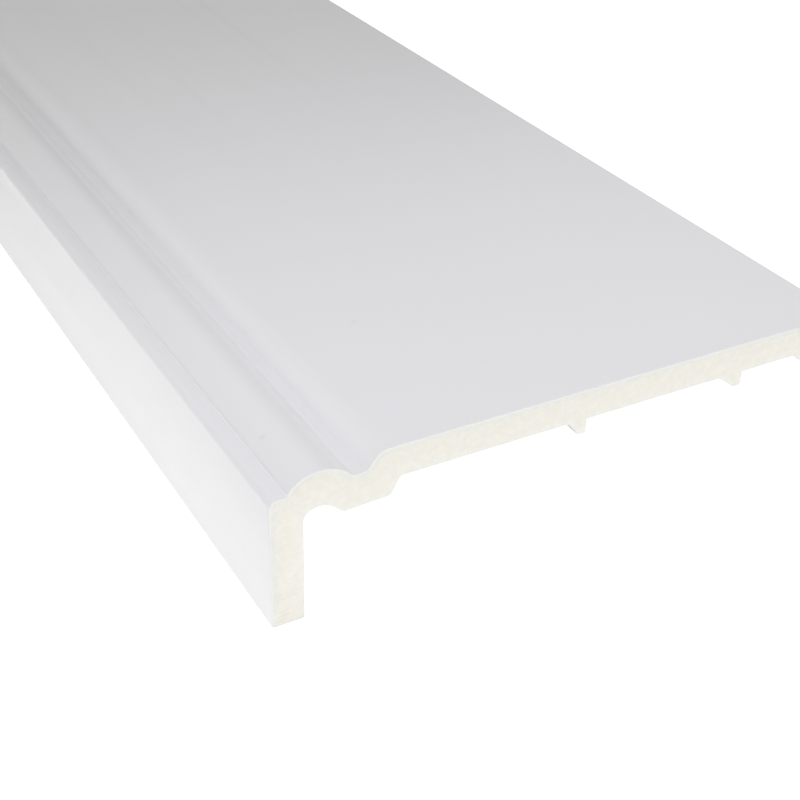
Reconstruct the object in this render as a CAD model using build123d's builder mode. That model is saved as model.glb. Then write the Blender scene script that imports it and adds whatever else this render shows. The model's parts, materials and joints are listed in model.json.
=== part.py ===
from build123d import *
import os
from math import atan2, cos, degrees, radians, sin, sqrt, tan

# Ogee capping board, one extruded length of foamed plastic stock, in millimetres.
# The section is drawn with its flat face up and level at Y = 0, and X runs across
# the width from the outer face of the leg to the free edge.

# Board
board_length = 2500.0
board_width = 175.0
board_thickness = 9.0
edge_radius = 0.5

# Leg that turns back along the moulded edge
leg_depth = 43.0
leg_thickness = 8.8
leg_corner_radius = 2.0

# Ogee moulding, all depths measured below the flat face
fillet_width = 4.9
fillet_depth = 5.4
quirk_height = 1.1
quirk_radius = 0.5
bead_crown_depth = 0.6
bead_radius = 11.0
valley_depth = 4.8
valley_floor = 3.4
valley_radius = 0.9
riser_angle = 50.0
shoulder_radius = 4.5

# Back of the moulding
bead_thickening = 1.2
soffit_width = 6.3
cove_radius = 3.3
ramp_angle = 41.0
ramp_radius = 5.0
heel_thickening = 0.7
heel_rise = 0.6
heel_lap = 5.4
heel_angle = 62.0
heel_radius = 1.2

# Saw-tooth ribs on the back, placed inwards from the free edge
rib_height = 4.2
rib_tip_width = 2.4
rib_base_width = 8.0
inner_rib_base_width = 5.6
rib_edge_gap = 8.6
rib_spacing = 26.2
inner_rib_spacing = 51.2


def level_run(reach, rise):
    """Horizontal distance between two points a set reach and rise apart."""
    return sqrt(reach**2 - rise**2)


# The moulding is worked out inwards from the fillet: bead, valley floor, riser and shoulder
bead_start = Vector(fillet_width, quirk_height - fillet_depth)
bead_level = -bead_crown_depth - bead_radius
bead_crown = Vector(fillet_width + level_run(bead_radius, bead_start.Y - bead_level), -bead_crown_depth)
bead_foot = Vector(bead_crown.X + level_run(bead_radius, -valley_depth - bead_level), -valley_depth)
riser_foot = bead_foot + Vector(valley_floor, 0)
riser_top = Vector(riser_foot.X + valley_depth / tan(radians(riser_angle)), 0)

# The back follows the moulding: a soffit behind the bead, a ramp and a heel behind the valley
soffit_depth = bead_crown_depth + board_thickness + bead_thickening
cove_corner = Vector(leg_thickness, -soffit_depth)
ramp_top = cove_corner + Vector(soffit_width, 0)
heel_depth = valley_depth + board_thickness + heel_thickening
ramp_foot = Vector(ramp_top.X + (heel_depth - soffit_depth) / tan(radians(ramp_angle)), -heel_depth)
heel_root = Vector(riser_top.X + heel_lap, -board_thickness)
heel_height = heel_depth - heel_rise - board_thickness
heel_corner = heel_root - Vector(heel_height / tan(radians(heel_angle)), heel_height)

# Corners of the section
face_edge = Vector(board_width, 0)
back_edge = Vector(board_width, -board_thickness)
fillet_corner = Vector(fillet_width, -fillet_depth)
leg_corner = Vector(0, -fillet_depth)
toe_outer = Vector(0, -leg_depth)
toe_inner = Vector(leg_thickness, -leg_depth)

# Steep side and base width of each rib, from the free edge inwards
last_rib = board_width - rib_edge_gap
ribs = (
    (last_rib, rib_base_width),
    (last_rib - rib_spacing, rib_base_width),
    (last_rib - rib_spacing - inner_rib_spacing, inner_rib_base_width),
)
rib_level = -board_thickness - rib_height


def round_corner(point, radius):
    """Round the corner of the open sketch that lies nearest to a point."""
    fillet(section.vertices().sort_by_distance(point)[0], radius)


with BuildSketch() as section:
    with BuildLine():
        Polyline(bead_foot, riser_foot, riser_top, face_edge, back_edge, heel_root, heel_corner, ramp_foot)
        Polyline(ramp_foot, ramp_top, cove_corner, toe_inner, toe_outer, leg_corner, fillet_corner, bead_start)
        ThreePointArc(bead_start, bead_crown, bead_foot)
    make_face()
    for steep_side, base_width in ribs:
        with BuildLine():
            Polyline(
                (steep_side, -board_thickness),
                (steep_side, rib_level),
                (steep_side - rib_tip_width, rib_level),
                (steep_side - base_width, -board_thickness),
                close=True,
            )
        make_face()
    for steep_side, _ in ribs:
        round_corner((steep_side, rib_level), edge_radius)
        round_corner((steep_side - rib_tip_width, rib_level), edge_radius)
    for corner in (face_edge, back_edge, toe_outer, toe_inner):
        round_corner(corner, edge_radius)
    for corner in (bead_foot, riser_foot):
        round_corner(corner, valley_radius)
    for corner in (ramp_foot, heel_corner, heel_root):
        round_corner(corner, heel_radius)
    round_corner(fillet_corner, quirk_radius)
    round_corner(leg_corner, leg_corner_radius)
    round_corner(riser_top, shoulder_radius)
    round_corner(cove_corner, cove_radius)
    round_corner(ramp_top, ramp_radius)

# Laid down unheld, the board leans on the toe of its leg and on the rib or edge that is reached first
supports = [Vector(steep_side, rib_level) for steep_side, _ in ribs] + [back_edge]
rest_tilt = min(atan2(support.Y - toe_inner.Y, support.X - toe_inner.X) for support in supports)
laid = section.sketch.rotate(Axis.Z, -degrees(rest_tilt)).bounding_box()
end_plane = Plane(
    origin=(-board_length / 2, -laid.center().X, -laid.min.Y),
    x_dir=(0, cos(rest_tilt), -sin(rest_tilt)),
    z_dir=(1, 0, 0),
)

with BuildPart() as capping_board:
    with BuildSketch(end_plane):
        add(section.sketch)
    extrude(amount=board_length)

capping_board.part.label = "capping_board"
os.makedirs("parts", exist_ok=True)
export_step(capping_board.part, "parts/capping_board.step")
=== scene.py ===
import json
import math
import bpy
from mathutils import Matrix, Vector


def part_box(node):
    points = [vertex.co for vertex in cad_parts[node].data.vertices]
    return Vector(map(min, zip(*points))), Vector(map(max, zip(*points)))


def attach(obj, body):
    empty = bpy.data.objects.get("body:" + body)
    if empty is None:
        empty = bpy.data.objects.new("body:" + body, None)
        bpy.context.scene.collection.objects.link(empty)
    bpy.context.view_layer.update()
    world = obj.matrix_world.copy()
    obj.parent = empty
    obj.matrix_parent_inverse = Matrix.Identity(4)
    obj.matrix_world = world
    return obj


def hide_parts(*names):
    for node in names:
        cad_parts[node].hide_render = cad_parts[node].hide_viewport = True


bl_info = {
    "name": "Ogee capping board",
    "version": (1, 0, 0),
    "blender": (4, 5, 0),
    "location": "View3D > Sidebar > Capping",
    "description": "Dresses a length of foamed plastic ogee capping board and sets it on a plain white stage",
    "category": "Object",
}

import bmesh
import bpy
import numpy as np
from mathutils import Matrix, Vector, noise

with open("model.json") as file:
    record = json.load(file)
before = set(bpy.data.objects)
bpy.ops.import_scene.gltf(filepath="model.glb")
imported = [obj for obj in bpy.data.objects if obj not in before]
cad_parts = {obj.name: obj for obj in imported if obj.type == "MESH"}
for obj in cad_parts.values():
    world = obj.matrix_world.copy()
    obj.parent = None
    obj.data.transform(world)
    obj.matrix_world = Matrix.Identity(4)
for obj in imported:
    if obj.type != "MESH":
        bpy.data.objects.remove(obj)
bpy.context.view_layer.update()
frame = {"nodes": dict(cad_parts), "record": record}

# The CAD frame: the board lies along X, with the photographed sawn end at +X
NODE = "capping_board"
LOW, HIGH = (Vector(corner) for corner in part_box(NODE))
MOUNT_AXES = {mount["name"]: Vector(mount["axis"]) for mount in frame["record"]["mounts"]}
FACE_UP = MOUNT_AXES["face"].normalized()
ACROSS = MOUNT_AXES["leg_back"].normalized()
ALONG = Vector((1, 0, 0))
SAWN_END = Vector((HIGH.x, 0, 0))
LEG_FACE = min(vert.co.dot(ACROSS) for vert in frame["nodes"][NODE].data.vertices)

MM = 0.001
MICRON = MM / 1000


# Settings that a user would change

class CappingSkinSettings(bpy.types.PropertyGroup):
    """Finish of the smooth extruded skin"""

    colour: bpy.props.FloatVectorProperty(
        name="Skin colour", description="White of the satin skin", subtype="COLOR",
        size=3, min=0, max=1, default=(0.862, 0.860, 0.866))
    roughness: bpy.props.FloatProperty(
        name="Roughness", description="Satin of the skin", min=0, max=1, default=0.42)
    peel_size: bpy.props.FloatProperty(
        name="Peel size", description="Width of the shallow ripples in the skin",
        subtype="DISTANCE", unit="LENGTH", min=0, default=6 * MM)
    peel_depth: bpy.props.FloatProperty(
        name="Peel depth", description="Depth of the shallow ripples in the skin",
        subtype="DISTANCE", unit="LENGTH", min=0, default=0.02 * MM)
    die_line_width: bpy.props.FloatProperty(
        name="Die line width", description="Width of the faint lines that the die leaves along the board",
        subtype="DISTANCE", unit="LENGTH", min=0, default=4 * MM)


class CappingSawnEndSettings(bpy.types.PropertyGroup):
    """Cut and colours of the sawn ends"""

    core_colour: bpy.props.FloatVectorProperty(
        name="Core colour", description="Cream of the foamed core", subtype="COLOR",
        size=3, min=0, max=1, default=(0.885, 0.860, 0.792))
    dense_colour: bpy.props.FloatVectorProperty(
        name="Dense colour", description="Greenish white of the denser foam under the show side",
        subtype="COLOR", size=3, min=0, max=1, default=(0.822, 0.825, 0.768))
    back_colour: bpy.props.FloatVectorProperty(
        name="Back colour", description="Pale foam under the skin of the back", subtype="COLOR",
        size=3, min=0, max=1, default=(0.875, 0.876, 0.810))
    cap_colour: bpy.props.FloatVectorProperty(
        name="Cap colour", description="White of the thin layer on the show side", subtype="COLOR",
        size=3, min=0, max=1, default=(0.838, 0.842, 0.820))
    cap_thickness: bpy.props.FloatProperty(
        name="Cap thickness", description="Thickness of the white layer on the show side",
        subtype="DISTANCE", unit="LENGTH", min=0, default=0.40 * MM)
    dense_thickness: bpy.props.FloatProperty(
        name="Dense thickness", description="Depth at which the dense foam turns into the core",
        subtype="DISTANCE", unit="LENGTH", min=0, default=1.5 * MM)
    cell_size: bpy.props.FloatProperty(
        name="Cell size", description="Width of the cells of the foamed core",
        subtype="DISTANCE", unit="LENGTH", min=0, default=0.35 * MM)
    tooth_pitch: bpy.props.FloatProperty(
        name="Tooth pitch", description="Distance between saw marks",
        subtype="DISTANCE", unit="LENGTH", min=0, default=1.3 * MM)
    torn_height: bpy.props.FloatProperty(
        name="Torn height", description="Height above the toe in which the saw left ridges",
        subtype="DISTANCE", unit="LENGTH", min=0, default=11 * MM)
    ridge_depth: bpy.props.FloatProperty(
        name="Ridge depth", description="Depth of the ridges that the saw left at the toe",
        subtype="DISTANCE", unit="LENGTH", min=0, default=0.22 * MM)
    edge_break: bpy.props.FloatProperty(
        name="Edge break", description="Width of the worn arris round a sawn end",
        subtype="DISTANCE", unit="LENGTH", min=0, default=0.12 * MM)
    cut_depth: bpy.props.FloatProperty(
        name="Cut depth", description="How far the saw wandered into the board",
        subtype="DISTANCE", unit="LENGTH", min=0, default=0.06 * MM)
    mesh_step: bpy.props.FloatProperty(
        name="Mesh step", description="Spacing of the mesh on a sawn end",
        subtype="DISTANCE", unit="LENGTH", min=0.2 * MM, default=1.0 * MM)


class CappingStageSettings(bpy.types.PropertyGroup):
    """Floor, light and camera"""

    floor_colour: bpy.props.FloatVectorProperty(
        name="Floor colour", description="Pale floor under the board", subtype="COLOR",
        size=3, min=0, max=1, default=(0.88, 0.88, 0.868))
    lamp_colour: bpy.props.FloatVectorProperty(
        name="Lamp colour", description="Cool white of the softbox above the sawn end", subtype="COLOR",
        size=3, min=0, max=1.2, default=(1.012, 1.0, 1.10))
    sky_light: bpy.props.FloatProperty(
        name="Sky light", description="Even light from all round", min=0, default=0.36)
    overhead_power: bpy.props.FloatProperty(
        name="Overhead power", description="Softbox above the sawn end",
        unit="POWER", min=0, default=0.168)
    beside_power: bpy.props.FloatProperty(
        name="Beside power", description="Softbox above the floor beside the leg",
        unit="POWER", min=0, default=0.110)
    left_power: bpy.props.FloatProperty(
        name="Left power", description="High softbox on the leg's side",
        unit="POWER", min=0, default=0.105)
    leg_power: bpy.props.FloatProperty(
        name="Leg power", description="Strip on the leg's side, above the height of the board",
        unit="POWER", min=0, default=0.118)
    right_power: bpy.props.FloatProperty(
        name="Right power", description="High softbox on the free edge's side",
        unit="POWER", min=0, default=0.2125)
    floor_power: bpy.props.FloatProperty(
        name="Floor power", description="Strip that lights the floor along the leg",
        unit="POWER", min=0, default=0.019)
    end_power: bpy.props.FloatProperty(
        name="End power", description="Softbox in front of each sawn end",
        unit="POWER", min=0, default=0.742)
    rear_power: bpy.props.FloatProperty(
        name="Rear power", description="Softbox above the rest of the board",
        unit="POWER", min=0, default=0.90)
    far_power: bpy.props.FloatProperty(
        name="Far power", description="Softbox above the far half of the board",
        unit="POWER", min=0, default=0.60)
    lens: bpy.props.FloatProperty(
        name="Lens", description="Focal length in millimetres", unit="CAMERA", min=1, default=64.466)


# Section of the board, read from the frame

def section_place(point):
    """A point's coordinates across the board's width and square to its flat face."""
    return point.dot(ACROSS), point.dot(FACE_UP)


class Section:
    """Outline of the sawn end, from the toe's outer corner, round the back and then the show side."""

    def __init__(self, corners):
        places = np.array([section_place(corner) for corner in corners])
        self.origin = np.array([places[:, 0].min(), places[:, 1].max()])
        places -= self.origin
        places = np.roll(places, -int(np.argmin(places.sum(1))), axis=0)
        self.start = places
        self.step = np.roll(places, -1, axis=0) - places
        self.length = np.linalg.norm(self.step, axis=1)
        self.run = np.concatenate([[0.0], np.cumsum(self.length)])
        self.show_from = int(np.argmax(places.sum(1)))
        self.width = places[:, 0].max()
        self.depth = -places[:, 1].min()

    def places(self, verts):
        """Distance of vertices from the leg across the width, and their height over the flat face."""
        return np.array([section_place(vert.co) for vert in verts]).reshape(-1, 2) - self.origin

    def nearest(self, places):
        """Distance of each place from every side of the outline, and how far along that side it falls."""
        offset = places[:, None, :] - self.start[None]
        share = np.clip((offset * self.step).sum(2) / self.length**2, 0, 1)
        gap = np.linalg.norm(offset - share[..., None] * self.step, axis=2)
        return gap, share

    def depths(self, places):
        """Depth below the nearest skin, and depth below the show side alone."""
        gap, _ = self.nearest(places)
        return gap.min(1), gap[:, self.show_from:].min(1)

    def runs(self, places):
        """Distance along the outline of the point nearest to each place."""
        gap, share = self.nearest(places)
        side = gap.argmin(1)
        row = np.arange(len(places))
        return self.run[side] + share[row, side] * self.length[side]


# Mesh of the dressed board

def end_faces(bm, squareness):
    """Faces that look along the board, either way, at least as squarely as asked."""
    return [face for face in bm.faces if abs(face.normal.x) > squareness]


def sawn_faces(bm):
    """Flat faces of the two sawn ends."""
    return end_faces(bm, squareness=0.99)


def with_borders(faces):
    """Faces with their edges and vertices, as the cutting operators take them."""
    edges = {edge for face in faces for edge in face.edges}
    verts = {vert for face in faces for vert in face.verts}
    return list(faces) + list(edges) + list(verts)


def cut_sawn_ends(bm, axis, first, last, step):
    """Cut the sawn ends into strips across an axis of the section."""
    for number in range(1, math.ceil((last - first) / step)):
        bmesh.ops.bisect_plane(
            bm, geom=with_borders(sawn_faces(bm)), dist=MICRON,
            plane_co=axis * (first + number * step), plane_no=axis)


def break_sawn_edges(bm, width):
    """Round the arris where the saw came through the skin."""
    ends = set(sawn_faces(bm))
    painted_toe_shade = [edge for edge in bm.edges if len(ends.intersection(edge.link_faces)) == 1]
    bmesh.ops.bevel(
        bm, geom=painted_toe_shade, offset=width, offset_type="OFFSET", segments=3, profile=0.5,
        affect="EDGES", clamp_overlap=False, material=-1)


def roughen_sawn_ends(bm, section, settings):
    """Let the saw wander a little into the board, and leave ridges where it came out through the toe."""
    # Noise waves to the metre, and how much each of them counts
    slow_wander, quick_wander, ridge_bend, ridge_break = 140, 700, 150, 260
    slow_share, quick_share, bend_share, whole_share = 0.5, 0.25, 2.0, 0.6
    layer = bm.verts.layers.float.new("groove")
    verts = list({vert for face in sawn_faces(bm) for vert in face.verts})
    places = section.places(verts)
    skin_depth, _ = section.depths(places)
    heights = places[:, 1] + section.depth
    for vert, inside, height in zip(verts, skin_depth, heights):
        wander = 0.5 + slow_share * noise.noise(vert.co * slow_wander)
        wander += quick_share * noise.noise(vert.co * quick_wander)
        torn = math.sqrt(max(0.0, 1 - height / settings.torn_height))
        bend = bend_share * noise.noise(vert.co * ridge_bend)
        ridge = 0.5 + 0.5 * math.sin(math.tau * height / settings.tooth_pitch + bend)
        whole = max(0.0, whole_share + noise.noise(vert.co * ridge_break))
        vert[layer] = torn * ridge * whole
        cut = settings.cut_depth * wander + settings.ridge_depth * vert[layer]
        vert.co.x -= math.copysign(max(cut, 0.0) * min(inside / MM, 1), vert.co.x)


def mark_depths(bm, section):
    """Store the depth under the skin and the show side, and the height above the toe, in millimetres."""
    names = ("skin_depth", "show_depth", "toe_height")
    for name in names:
        bm.verts.layers.float.new(name)
    verts = list(bm.verts)
    places = section.places(verts)
    measures = (*section.depths(places), places[:, 1] + section.depth)
    for name, values in zip(names, measures):
        layer = bm.verts.layers.float[name]
        for vert, value in zip(verts, values):
            vert[layer] = value / MM


def lay_out_map(bm, section):
    """Map both sawn ends large, and the long skin above them."""
    margin, end_share, skin_foot, skin_share = 0.01, 0.27, 0.56, 0.42
    layer = bm.loops.layers.uv.new("OFBake")
    room = 1 - 2 * margin
    scale = room / section.width
    around = section.run[-1]
    ends = set(sawn_faces(bm))
    for face in bm.faces:
        places = section.places(face.verts)
        if face in ends:
            foot = margin if face.normal.x > 0 else margin + end_share
            for loop, (across, up) in zip(face.loops, places):
                loop[layer].uv = (margin + across * scale, foot + (up + section.depth) * scale)
            continue
        runs = section.runs(places)
        if np.ptp(runs) > around / 2:
            runs = np.where(runs < around / 2, runs + around, runs)
        for loop, run in zip(face.loops, runs):
            along = (loop.vert.co.x - LOW.x) / (HIGH.x - LOW.x)
            loop[layer].uv = (margin + along * room, skin_foot + run / around * skin_share)


def board_mesh(settings):
    """The CAD board as clean faces, with broken sawn edges and finely cut sawn ends."""
    flat_angle, sharp_angle = math.radians(0.5), math.radians(35)
    end_strip, cuts_per_tooth = 4 * MM, 5
    bm = bmesh.new()
    bm.from_mesh(frame["nodes"][NODE].data)
    bmesh.ops.remove_doubles(bm, verts=bm.verts, dist=MICRON)
    bmesh.ops.dissolve_limit(
        bm, angle_limit=flat_angle, verts=bm.verts, edges=bm.edges, use_dissolve_boundaries=False)
    near_end = max(sawn_faces(bm), key=lambda face: face.normal.x)
    section = Section([vert.co for vert in near_end.verts])
    for place in (LOW.x + end_strip, HIGH.x - end_strip):
        bmesh.ops.bisect_plane(
            bm, geom=bm.verts[:] + bm.edges[:] + bm.faces[:], dist=MICRON,
            plane_co=(place, 0, 0), plane_no=ALONG)
    break_sawn_edges(bm, settings.edge_break)
    left, top = section.origin
    toe = top - section.depth
    cut_sawn_ends(bm, ACROSS, left, left + section.width, settings.mesh_step)
    cut_sawn_ends(bm, FACE_UP, toe, top, settings.mesh_step)
    cut_sawn_ends(bm, FACE_UP, toe, toe + settings.torn_height, settings.tooth_pitch / cuts_per_tooth)
    mark_depths(bm, section)
    lay_out_map(bm, section)
    for face in bm.faces:
        face.smooth = True
        face.material_index = 0
    for face in end_faces(bm, squareness=0.05):
        face.material_index = 1
    roughen_sawn_ends(bm, section, settings)
    mesh = bpy.data.meshes.new("dressed_board")
    bm.to_mesh(mesh)
    bm.free()
    mesh.set_sharp_from_angle(angle=sharp_angle)
    return mesh


# Materials

def add_node(tree, kind, values=None, **settings):
    """A shader node with its settings, and its sockets set to values or joined to other sockets."""
    made = tree.nodes.new(kind)
    for name, value in settings.items():
        setattr(made, name, value)
    for socket, value in (values or {}).items():
        if isinstance(value, bpy.types.NodeSocket):
            tree.links.new(value, made.inputs[socket])
        else:
            made.inputs[socket].default_value = value
    return made


def mixed(tree, share, first, second):
    """Colour between two colours."""
    return add_node(
        tree, "ShaderNodeMix", {0: share, 6: first, 7: second}, data_type="RGBA").outputs[2]


def worked(tree, operation, first, second=0.0):
    """Result of a sum on one or two numbers."""
    return add_node(tree, "ShaderNodeMath", {0: first, 1: second}, operation=operation).outputs[0]


def multiplied(tree, *factors):
    """Several numbers multiplied together."""
    result, *others = factors
    for factor in others:
        result = worked(tree, "MULTIPLY", result, factor)
    return result


def ramped(tree, value, low, high):
    """Smooth rise from 0 to 1 between two values."""
    return add_node(
        tree, "ShaderNodeMapRange", {"Value": value, "From Min": low, "From Max": high},
        interpolation_type="SMOOTHSTEP").outputs[0]


def ranged(tree, value, low, high, first=0.0, last=1.0):
    """A number between a first and a last value, turned into one between low and high."""
    return add_node(
        tree, "ShaderNodeMapRange",
        {"Value": value, "From Min": first, "From Max": last, "To Min": low, "To Max": high}).outputs[0]


def scaled(tree, colour, factor):
    """A colour made lighter or darker by a socket's value."""
    return add_node(
        tree, "ShaderNodeVectorMath", {0: colour, "Scale": factor}, operation="SCALE").outputs[0]


def measured(tree, name):
    """A measure stored on the mesh."""
    return add_node(tree, "ShaderNodeAttribute", attribute_name=name).outputs["Fac"]


def clouded(tree, place, scale, detail):
    """Soft uneven noise round 0.5."""
    return add_node(
        tree, "ShaderNodeTexNoise", {"Vector": place, "Scale": scale, "Detail": detail}).outputs["Fac"]


def raised(tree, shader, height, strength, distance):
    """Give a shader shallow relief from a height."""
    bump = add_node(
        tree, "ShaderNodeBump", {"Strength": strength, "Distance": distance, "Height": height})
    tree.links.new(bump.outputs[0], shader.inputs["Normal"])


def shaded(colour, factor=1.0):
    """A colour made lighter or darker, with its alpha."""
    return (*(min(1.0, part * factor) for part in colour), 1.0)


def bare_material(name):
    """A material with an empty node tree and a principled shader, and its coordinates."""
    material = bpy.data.materials.new(name)
    material.use_nodes = True
    tree = material.node_tree
    tree.nodes.clear()
    shader = add_node(tree, "ShaderNodeBsdfPrincipled")
    add_node(tree, "ShaderNodeOutputMaterial", {"Surface": shader.outputs[0]})
    place = add_node(tree, "ShaderNodeTexCoord").outputs["Object"]
    return material, tree, shader, place


def skin_scuffs_and_painted_shade(tree, place):
    """Darkening of the show side: painted shade as soft dark lines in the quirk and along the bead, and two
    scuffs.
    """
    # Each painted shade line: where it starts, is darkest and ends across the width, and its painted shade
    # near and far along it
    painted_quirk_shade = (4.1 * MM, 4.8 * MM, 5.4 * MM, 0.990, 0.945)
    painted_bead_shade = (11.5 * MM, 16.8 * MM, 18.6 * MM, 0.957, 0.905)
    painted_shade_reach = 260 * MM
    # Each scuff: its distance from the sawn end and from the leg
    scuffs = ((20.3 * MM, 7.9 * MM), (57.3 * MM, 51.8 * MM))
    scuff_core, scuff_rim, scuff_shade = 0.3 * MM, 1.1 * MM, 0.945
    show_edge, back_edge = 0.1, 1.0

    off_show = ramped(tree, measured(tree, "show_depth"), show_edge, back_edge)
    length_place = add_node(tree, "ShaderNodeSeparateXYZ", {0: place}).outputs["X"]
    along = worked(tree, "SUBTRACT", HIGH.x, length_place)
    width_place = add_node(
        tree, "ShaderNodeVectorMath", {0: place, 1: ACROSS}, operation="DOT_PRODUCT").outputs["Value"]
    across = worked(tree, "SUBTRACT", width_place, LEG_FACE)
    sheet = add_node(tree, "ShaderNodeCombineXYZ", {"X": along, "Y": across}).outputs[0]
    shades = []
    # Painted shade along the quirk and the bead, growing darker away from the sawn end
    for start, middle, end, near_shade, far_shade in (painted_quirk_shade, painted_bead_shade):
        before = ramped(tree, across, middle, start)
        after = ramped(tree, across, middle, end)
        off_line = worked(tree, "MAXIMUM", before, after)
        painted_line_shade = ranged(tree, along, near_shade, far_shade, last=painted_shade_reach)
        shades.append(ranged(tree, worked(tree, "MAXIMUM", off_line, off_show), painted_line_shade, 1.0))
    for from_end, from_leg in scuffs:
        gap = add_node(
            tree, "ShaderNodeVectorMath", {0: sheet, 1: (from_end, from_leg, 0)},
            operation="DISTANCE").outputs["Value"]
        clear = worked(tree, "MAXIMUM", ramped(tree, gap, scuff_core, scuff_rim), off_show)
        shades.append(ranged(tree, clear, scuff_shade, 1.0))
    return multiplied(tree, *shades)


def satin_skin(settings):
    """Extruded satin skin: faint die lines along the board and a shallow orange peel."""
    faint_dark, faint_light = 0.985, 1.015
    line_stretch, line_height, line_fade = 0.02, 0.5, (0.62, 0.78)
    satin_swing, line_low, line_high = 0.04, 0.3, 0.7
    material, tree, shader, place = bare_material("satin_skin")
    drawn_out = add_node(
        tree, "ShaderNodeMapping", {"Vector": place, "Scale": (line_stretch, 1, 1)}).outputs[0]
    die_lines = clouded(tree, drawn_out, scale=1 / settings.die_line_width, detail=3.0)
    peel = clouded(tree, place, scale=1 / settings.peel_size, detail=2.0)
    cloud = clouded(tree, place, scale=9.0, detail=2.0)
    tint = mixed(tree, cloud, shaded(settings.colour, faint_dark), shaded(settings.colour, faint_light))
    lined = mixed(tree, ramped(tree, die_lines, *line_fade), tint, shaded(settings.colour, faint_dark))
    # Base colour darkened by the painted shade lines and by the scuffs
    tree.links.new(scaled(tree, lined, skin_scuffs_and_painted_shade(tree, place)), shader.inputs["Base Color"])
    rough = ranged(
        tree, die_lines, settings.roughness - satin_swing, settings.roughness + satin_swing,
        first=line_low, last=line_high)
    tree.links.new(rough, shader.inputs["Roughness"])
    height = worked(tree, "ADD", peel, worked(tree, "MULTIPLY", die_lines, line_height))
    raised(tree, shader, height, strength=0.5, distance=settings.peel_depth)
    shader.inputs["Specular IOR Level"].default_value = 0.4
    return material


def foam_grain_and_painted_shade(tree, mottle, fine, uneven, in_core):
    """Shade of the sawn foam: its grain, and painted shade in the open voids of the core, along the foot of
    the toe and in the saw's grooves.
    """
    mottle_share, fine_share = 0.6, 0.4
    grain_fade, grain_dark, grain_light = (0.36, 0.64), 0.972, 1.018
    void_fade, void_shade = (0.60, 0.72), 0.95
    toe_shade_fade, toe_shade_level = (0.7, 1.5), 0.960
    groove_shade_level = 0.95
    speckle = worked(
        tree, "ADD", multiplied(tree, mottle, mottle_share), multiplied(tree, fine, fine_share))
    grain = ranged(tree, ramped(tree, speckle, *grain_fade), grain_dark, grain_light)
    # Painted shade in the open voids of the core, at random specks
    painted_void_shade = ranged(tree, multiplied(tree, ramped(tree, fine, *void_fade), in_core), 1.0, void_shade)
    # Painted contact shade along the foot of the toe, where the board stands on the floor
    toe_height = worked(tree, "ADD", measured(tree, "toe_height"), uneven)
    painted_toe_shade = ranged(tree, ramped(tree, toe_height, *toe_shade_fade), toe_shade_level, 1.0)
    # Painted shade in the saw's grooves, darkest where the cut goes deepest
    painted_groove_shade = ranged(tree, measured(tree, "groove"), 1.0, groove_shade_level)
    return multiplied(tree, grain, painted_void_shade, painted_toe_shade, painted_groove_shade)


def foam_relief(tree, shader, place, in_core, settings):
    """Shallow relief of the sawn foam: open cells in the core and faint saw marks."""
    pit_height, mark_height, mark_scale = 0.7, 0.2, 1 / 6
    cells = add_node(
        tree, "ShaderNodeTexVoronoi", {"Vector": place, "Scale": 1 / settings.cell_size},
        feature="F1").outputs["Distance"]
    saw_marks = add_node(
        tree, "ShaderNodeTexWave",
        {"Vector": place, "Scale": mark_scale / settings.tooth_pitch, "Distortion": 3.0,
         "Detail": 2.0, "Detail Scale": 1.5},
        wave_type="BANDS", bands_direction="Z").outputs["Fac"]
    pits = multiplied(tree, cells, in_core, pit_height)
    height = worked(tree, "ADD", pits, worked(tree, "MULTIPLY", saw_marks, mark_height))
    raised(tree, shader, height, strength=0.6, distance=0.12 * MM)


def sawn_foam(settings):
    """Sawn end: white show layer, dense foam under it, paler foam at the back and a cellular cream core."""
    # Depths in millimetres at which one layer fades into the next, and how far the depths wander
    cap_edge, cap_fade = settings.cap_thickness / MM, 0.15
    dense_edge, fade_before, fade_after = settings.dense_thickness / MM, 0.5, 0.7
    back_fade, core_fade, wander = (0.5, 1.7), (2.0, 7.5), 1.2
    core_near, core_far = 0.985, 1.01
    band_roughness, core_roughness = 0.6, 0.85
    material, tree, shader, place = bare_material("sawn_foam")
    skin_depth, show_depth = (measured(tree, name) for name in ("skin_depth", "show_depth"))
    mottle = clouded(tree, place, scale=480.0, detail=3.0)
    fine = clouded(tree, place, scale=1600.0, detail=2.0)
    uneven = worked(tree, "MULTIPLY", worked(tree, "SUBTRACT", mottle, 0.5), wander)
    past_cap = ramped(tree, show_depth, cap_edge - cap_fade, cap_edge + cap_fade)
    past_dense = ramped(
        tree, worked(tree, "ADD", show_depth, uneven), dense_edge - fade_before, dense_edge + fade_after)
    past_back = ramped(tree, worked(tree, "ADD", skin_depth, uneven), *back_fade)
    in_core = worked(tree, "MULTIPLY", past_dense, past_back)
    core = mixed(
        tree, ramped(tree, show_depth, *core_fade),
        shaded(settings.core_colour, core_near), shaded(settings.core_colour, core_far))
    backed = mixed(tree, past_back, shaded(settings.back_colour), core)
    foam = mixed(tree, past_dense, shaded(settings.dense_colour), backed)
    foam_with_painted_shade = scaled(tree, foam, foam_grain_and_painted_shade(tree, mottle, fine, uneven, in_core))
    colour = mixed(tree, past_cap, shaded(settings.cap_colour), foam_with_painted_shade)
    tree.links.new(colour, shader.inputs["Base Color"])
    tree.links.new(ranged(tree, in_core, band_roughness, core_roughness), shader.inputs["Roughness"])
    foam_relief(tree, shader, place, in_core, settings)
    shader.inputs["Specular IOR Level"].default_value = 0.3
    return material


def white_to_camera(tree):
    """1 for rays that see the background straight, in gloss or through glass, and 0 for light."""
    path = add_node(tree, "ShaderNodeLightPath").outputs
    seen = worked(tree, "MAXIMUM", path["Is Camera Ray"], path["Is Glossy Ray"])
    return worked(tree, "MAXIMUM", seen, path["Is Transmission Ray"])


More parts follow.
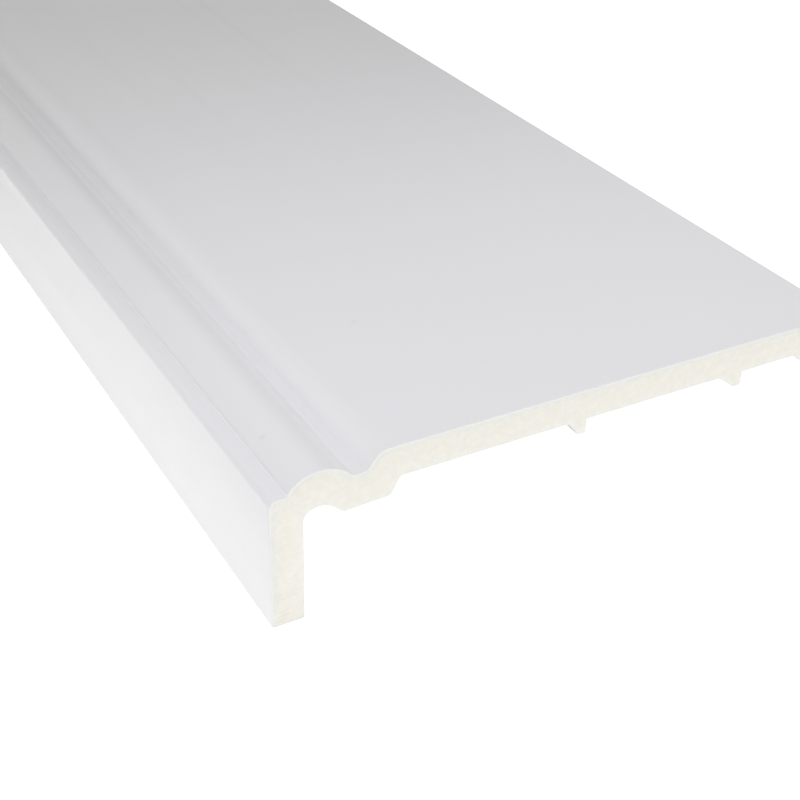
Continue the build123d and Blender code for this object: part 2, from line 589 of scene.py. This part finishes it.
def pale_floor(settings):
    """Floor that looks white, and still takes the board's shadow faintly."""
    glow_strength = 0.9
    material = bpy.data.materials.new("pale_floor")
    material.use_nodes = True
    tree = material.node_tree
    tree.nodes.clear()
    diffuse = add_node(tree, "ShaderNodeBsdfDiffuse", {"Color": shaded(settings.floor_colour)}).outputs[0]
    seen = worked(tree, "MULTIPLY", white_to_camera(tree), glow_strength)
    glow = add_node(tree, "ShaderNodeEmission", {"Color": (1, 1, 1, 1), "Strength": seen}).outputs[0]
    both = add_node(tree, "ShaderNodeAddShader", {0: diffuse, 1: glow}).outputs[0]
    add_node(tree, "ShaderNodeOutputMaterial", {"Surface": both})
    material.cycles.emission_sampling = "NONE"
    return material


# Stage

def white_world(scene, strength):
    """Even light from all round, seen as plain white."""
    world = bpy.data.worlds.new("white_studio")
    world.use_nodes = True
    tree = world.node_tree
    tree.nodes.clear()
    shown = ranged(tree, white_to_camera(tree), strength, 1.0)
    sky = add_node(tree, "ShaderNodeBackground", {"Color": (1, 1, 1, 1), "Strength": shown})
    add_node(tree, "ShaderNodeOutputWorld", {"Surface": sky.outputs[0]})
    world.cycles.sampling_method = "NONE"
    scene.world = world


def softbox(name, place, aim, width, height, spread, power, colour=(1, 1, 1)):
    """Soft lamp behind a grid that keeps its light within a spread, placed and aimed from the sawn end."""
    lamp = bpy.data.lights.new(name, "AREA")
    lamp.energy = power
    lamp.color = colour
    lamp.shape = "RECTANGLE"
    lamp.size = width
    lamp.size_y = height
    lamp.spread = math.radians(spread)
    stand = bpy.data.objects.new(name, lamp)
    turn = (Vector(aim) - Vector(place)).to_track_quat("-Z", "Y").to_matrix().to_4x4()
    stand.matrix_world = Matrix.Translation(SAWN_END + Vector(place)) @ turn
    stand.visible_camera = False
    bpy.context.scene.collection.objects.link(stand)


def light_near_end(settings):
    """Soft light on the photographed end: cool white from above, and white on the leg and the sawn end."""
    softbox(
        "overhead_softbox", place=(0.0, -0.03, 0.42), aim=(0.0, -0.03, 0.0), width=0.30, height=0.60,
        spread=80, power=settings.overhead_power, colour=settings.lamp_colour)
    softbox(
        "beside_softbox", place=(-0.03, -0.22, 0.42), aim=(-0.03, -0.22, 0.0), width=0.30, height=0.30,
        spread=80, power=settings.beside_power)
    softbox(
        "left_softbox", place=(-0.05, -0.45, 0.55), aim=(-0.05, 0.0, 0.02), width=0.40, height=0.40,
        spread=90, power=settings.left_power)
    softbox(
        "leg_softbox", place=(-0.12, -0.45, 0.22), aim=(-0.12, -0.06, 0.04), width=0.60, height=0.10,
        spread=120, power=settings.leg_power)
    softbox(
        "right_softbox", place=(-0.10, 0.60, 0.35), aim=(-0.10, 0.0, 0.03), width=0.40, height=0.40,
        spread=120, power=settings.right_power)
    softbox(
        "floor_softbox", place=(-0.14, -0.115, 0.10), aim=(-0.14, -0.115, 0.0), width=0.50, height=0.04,
        spread=20, power=settings.floor_power)
    softbox(
        "end_softbox", place=(0.55, 0.02, 0.16), aim=(0.0, 0.02, 0.02), width=0.50, height=0.30,
        spread=120, power=settings.end_power)


def light_rest_of_board(settings):
    """Soft light on the length that runs away from the photographed end, and on its far sawn end."""
    softbox(
        "far_end_softbox", place=(-3.05, 0.02, 0.16), aim=(-2.5, 0.02, 0.02), width=0.50, height=0.30,
        spread=120, power=settings.end_power)
    softbox(
        "rear_softbox", place=(-1.52, -0.25, 0.45), aim=(-1.52, 0.0, 0.02), width=2.04, height=0.60,
        spread=50, power=settings.rear_power)
    softbox(
        "far_softbox", place=(-1.77, -0.25, 0.45), aim=(-1.77, 0.0, 0.02), width=1.54, height=0.60,
        spread=50, power=settings.far_power)


def photo_camera(place, aim, roll, lens):
    """Camera at the photograph's viewing angle."""
    data = bpy.data.cameras.new("photo_camera")
    data.sensor_fit = "HORIZONTAL"
    data.sensor_width = 36.0
    data.lens = lens
    data.clip_start = 0.01
    camera = bpy.data.objects.new("photo_camera", data)
    level = (aim - place).to_track_quat("-Z", "Y").to_matrix().to_4x4()
    camera.matrix_world = Matrix.Translation(place) @ level @ Matrix.Rotation(roll, 4, "Z")
    bpy.context.scene.collection.objects.link(camera)
    return camera


def floor_sheet(half_width):
    """One large level square."""
    bm = bmesh.new()
    bmesh.ops.create_grid(bm, x_segments=1, y_segments=1, size=half_width)
    mesh = bpy.data.meshes.new("floor")
    bm.to_mesh(mesh)
    bm.free()
    return mesh


class CAPPING_OT_board(bpy.types.Operator):
    """Dress the board: satin skin, broken sawn edges and cellular sawn ends"""

    bl_idname = "capping.board"
    bl_label = "Dress the board"

    def execute(self, context):
        scene = context.scene
        mesh = board_mesh(scene.capping_sawn_end)
        mesh.materials.append(satin_skin(scene.capping_skin))
        mesh.materials.append(sawn_foam(scene.capping_sawn_end))
        board = bpy.data.objects.new("dressed_board", mesh)
        scene.collection.objects.link(board)
        flats = board.modifiers.new("true_flats", "WEIGHTED_NORMAL")
        flats.keep_sharp = True
        flats.weight = 100
        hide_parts(NODE)
        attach(board, "root")
        return {"FINISHED"}


class CAPPING_OT_stage(bpy.types.Operator):
    """Set the floor, the light and the camera"""

    bl_idname = "capping.stage"
    bl_label = "Set the stage"

    def execute(self, context):
        scene = context.scene
        settings = scene.capping_stage
        floor = bpy.data.objects.new("floor", floor_sheet(half_width=20.0))
        floor.data.materials.append(pale_floor(settings))
        scene.collection.objects.link(floor)
        white_world(scene, settings.sky_light)
        light_near_end(settings)
        light_rest_of_board(settings)
        camera_place = Vector((HIGH.x + 0.24052, -0.15063, 0.25031))
        camera_aim = Vector((HIGH.x - 0.01701, -0.03911, 0.03591))
        camera_roll = math.radians(-9.952)
        scene.camera = photo_camera(camera_place, camera_aim, camera_roll, settings.lens)
        scene.view_settings.view_transform = "Standard"
        return {"FINISHED"}


class CAPPING_PT_sidebar(bpy.types.Panel):
    """Steps and settings of the capping board"""

    bl_label = "Capping board"
    bl_idname = "CAPPING_PT_sidebar"
    bl_space_type = "VIEW_3D"
    bl_region_type = "UI"
    bl_category = "Capping"

    def draw(self, context):
        layout = self.layout
        for operator in (CAPPING_OT_board, CAPPING_OT_stage):
            layout.operator(operator.bl_idname)
        for name in SETTINGS:
            group = getattr(context.scene, name)
            box = layout.box()
            for setting in group.bl_rna.properties:
                if setting.identifier not in {"name", "rna_type"}:
                    box.prop(group, setting.identifier)


SETTINGS = {
    "capping_skin": CappingSkinSettings,
    "capping_sawn_end": CappingSawnEndSettings,
    "capping_stage": CappingStageSettings,
}
CLASSES = (*SETTINGS.values(), CAPPING_OT_board, CAPPING_OT_stage, CAPPING_PT_sidebar)


def register():
    for item in CLASSES:
        bpy.utils.register_class(item)
    for name, group in SETTINGS.items():
        setattr(bpy.types.Scene, name, bpy.props.PointerProperty(type=group))


def unregister():
    for name in SETTINGS:
        delattr(bpy.types.Scene, name)
    for item in reversed(CLASSES):
        bpy.utils.unregister_class(item)


def main():
    register()
    bpy.ops.capping.board()
    bpy.ops.capping.stage()


if __name__ == "__main__":
    main()
